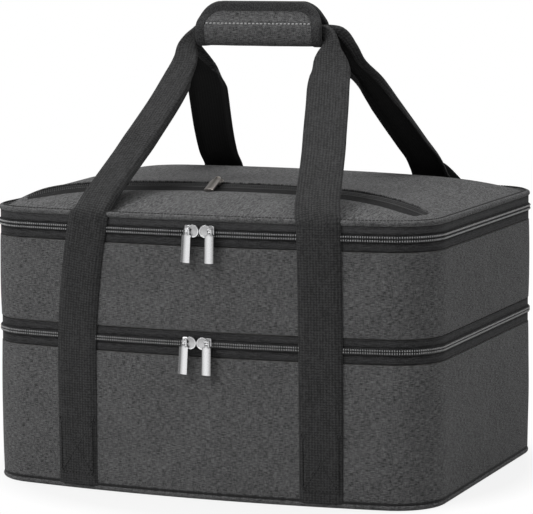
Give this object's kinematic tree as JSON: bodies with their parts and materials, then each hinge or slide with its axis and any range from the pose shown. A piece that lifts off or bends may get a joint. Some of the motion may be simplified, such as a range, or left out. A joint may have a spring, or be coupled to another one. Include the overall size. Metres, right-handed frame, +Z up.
{
  "type": "casserole carrier",
  "caption": "Insulated fabric carrier with two zipped decks, a lid pocket and webbing handles joined by a padded grip wrap, for carrying hot or cold dishes.",
  "frame": {"origin": "middle of the flat bottom, on the surface the carrier stands on", "axes": "+X to the right along the front, -Y out of the front face with the sliders, +Z up"},
  "size_m": [0.4018, 0.3441, 0.4061],
  "materials": {
    "heather_cloth": "charcoal heather linen-look polyester, matt",
    "under_cloth": "dark plain polyester, matt",
    "zip_tape": "dark woven zip tape, matt",
    "zip_teeth": "moulded coil teeth, dark",
    "webbing": "ribbed polyester webbing, dark charcoal",
    "binding": "black folded binding tape",
    "piping": "grey cloth-covered piping",
    "closure": "black hook and loop tape",
    "foil_lining": "silver wipe-clean lining, semi-gloss",
    "foam": "closed-cell foam sheet, matt",
    "stiff_board": "plain stiffening board",
    "bright_metal": "bright plated zip sliders and pulls",
    "nickel_metal": "brushed nickel pocket slider and pull"
  },
  "bodies": {
    "lower_deck": {"bottom_panel": "under_cloth", "bottom_piping": "piping", "lower_wall": "heather_cloth", "lower_foam": "foam", "base_board": "stiff_board", "base_foam": "foam", "lower_liner": "foil_lining", "mid_tape_lower": "zip_tape", "mid_teeth_lower": "zip_teeth", "mid_fold_strip": "heather_cloth", "front_strap_end_left": "webbing", "front_strap_end_right": "webbing", "rear_strap_end_left": "webbing", "rear_strap_end_right": "webbing"},
    "upper_deck": {"upper_wall": "heather_cloth", "upper_foam": "foam", "divider_foam_board": "foam", "divider_lining": "foil_lining", "upper_liner": "foil_lining", "mid_tape_upper": "zip_tape", "mid_teeth_upper": "zip_teeth", "top_tape_lower": "zip_tape", "top_teeth_lower": "zip_teeth", "top_fold_strip": "heather_cloth", "rear_strap_run_left": "webbing", "rear_strap_run_right": "webbing"},
    "lid": {"top_tape_upper": "zip_tape", "top_teeth_upper": "zip_teeth", "lid_piping": "piping", "lid_cover": "heather_cloth", "pocket_panel": "heather_cloth", "pocket_tape": "zip_tape", "pocket_teeth": "zip_teeth", "pocket_end_left": "heather_cloth", "pocket_end_right": "heather_cloth", "pocket_lining": "under_cloth", "lid_foam": "foam", "lid_liner": "foil_lining"},
    "mid_slider_left_body": {"mid_slider_left": "bright_metal"},
    "mid_pull_left_body": {"mid_pull_left": "bright_metal"},
    "mid_slider_right_body": {"mid_slider_right": "bright_metal"},
    "mid_pull_right_body": {"mid_pull_right": "bright_metal"},
    "top_slider_left_body": {"top_slider_left": "bright_metal"},
    "top_pull_left_body": {"top_pull_left": "bright_metal"},
    "top_slider_right_body": {"top_slider_right": "bright_metal"},
    "top_pull_right_body": {"top_pull_right": "bright_metal"},
    "pocket_slider_body": {"pocket_slider": "nickel_metal"},
    "pocket_pull_body": {"pocket_pull": "nickel_metal"},
    "front_handle_body": {"front_handle": "webbing"},
    "rear_handle_body": {"rear_handle": "webbing", "wrap_back": "heather_cloth", "wrap_back_binding": "binding", "wrap_loop_strip": "closure"},
    "wrap_flap_body": {"wrap_flap": "heather_cloth", "wrap_flap_binding": "binding", "wrap_hook_strip": "closure"}
  },
  "joints": [
    {"name": "upper_deck_open", "type": "hinge", "parent": "lower_deck", "child": "upper_deck", "pos_m": [0, 0.1682, 0.1303], "axis": [-1, 0, 0], "range_deg": [0, 90], "deforming": ["mid_fold_strip"]},
    {"name": "lid_open", "type": "hinge", "parent": "upper_deck", "child": "lid", "pos_m": [0, 0.1682, 0.2218], "axis": [-1, 0, 0], "range_deg": [0, 90], "deforming": ["top_fold_strip"]},
    {"name": "rear_handle_lean", "type": "hinge", "parent": "upper_deck", "child": "rear_handle_body", "pos_m": [0, 0.1682, 0.2218], "axis": [-1, 0, 0], "range_deg": [0, 72], "deforming": ["rear_handle"]},
    {"name": "front_handle_swing", "type": "hinge", "parent": "lower_deck", "child": "front_handle_body", "pos_m": [0, -0.1665, 0.0641], "axis": [1, 0, 0], "range_deg": [0, 110], "deforming": ["front_handle"]},
    {"name": "wrap_flap_open", "type": "hinge", "parent": "rear_handle_body", "child": "wrap_flap_body", "pos_m": [-0.0062, -0.00415, 0.3671], "axis": [1, 0, 0], "range_deg": [0, 110]},
    {"name": "mid_slider_left_run", "type": "hinge", "parent": "lower_deck", "child": "mid_slider_left_body", "pos_m": [0, 0.973, 0.1303], "axis": [0, 0, -1], "range_deg": [0, 7.4]},
    {"name": "mid_pull_left_swing", "type": "hinge", "parent": "mid_slider_left_body", "child": "mid_pull_left_body", "pos_m": [-0.00631, -0.17379, 0.1303], "axis": [-1, 0.0015, 0], "range_deg": [0, 160]},
    {"name": "mid_slider_right_run", "type": "hinge", "parent": "lower_deck", "child": "mid_slider_right_body", "pos_m": [0, 0.973, 0.1303], "axis": [0, 0, 1], "range_deg": [0, 7.1]},
    {"name": "mid_pull_right_swing", "type": "hinge", "parent": "mid_slider_right_body", "child": "mid_pull_right_body", "pos_m": [0.01395, -0.17372, 0.1303], "axis": [-1, -0.0081, 0], "range_deg": [0, 160]},
    {"name": "top_slider_left_run", "type": "hinge", "parent": "upper_deck", "child": "top_slider_left_body", "pos_m": [0, 0.973, 0.2218], "axis": [0, 0, -1], "range_deg": [0, 7.4]},
    {"name": "top_pull_left_swing", "type": "hinge", "parent": "top_slider_left_body", "child": "top_pull_left_body", "pos_m": [-0.00309, -0.1738, 0.2218], "axis": [-1, -0.0013, 0], "range_deg": [0, 160]},
    {"name": "top_slider_right_run", "type": "hinge", "parent": "upper_deck", "child": "top_slider_right_body", "pos_m": [0, 0.973, 0.2218], "axis": [0, 0, 1], "range_deg": [0, 6.9]},
    {"name": "top_pull_right_swing", "type": "hinge", "parent": "top_slider_right_body", "child": "top_pull_right_body", "pos_m": [0.01716, -0.17368, 0.2218], "axis": [-0.9999, -0.011, 0], "range_deg": [0, 160]},
    {"name": "pocket_slider_run", "type": "hinge", "parent": "lid", "child": "pocket_slider_body", "pos_m": [0, -0.436, 0.22075], "axis": [0, -0.0797, 0.9968], "range_deg": [-24, 17]},
    {"name": "pocket_pull_swing", "type": "hinge", "parent": "pocket_slider_body", "child": "pocket_pull_body", "pos_m": [-0.02228, -0.06271, 0.25753], "axis": [-0.9982, -0.0591, -0.0047], "range_deg": [0, 140]}
  ],
  "couplings": [
    {"joint": "rear_handle_lean", "follows": "lid_open", "ratio": 0.8}
  ]
}
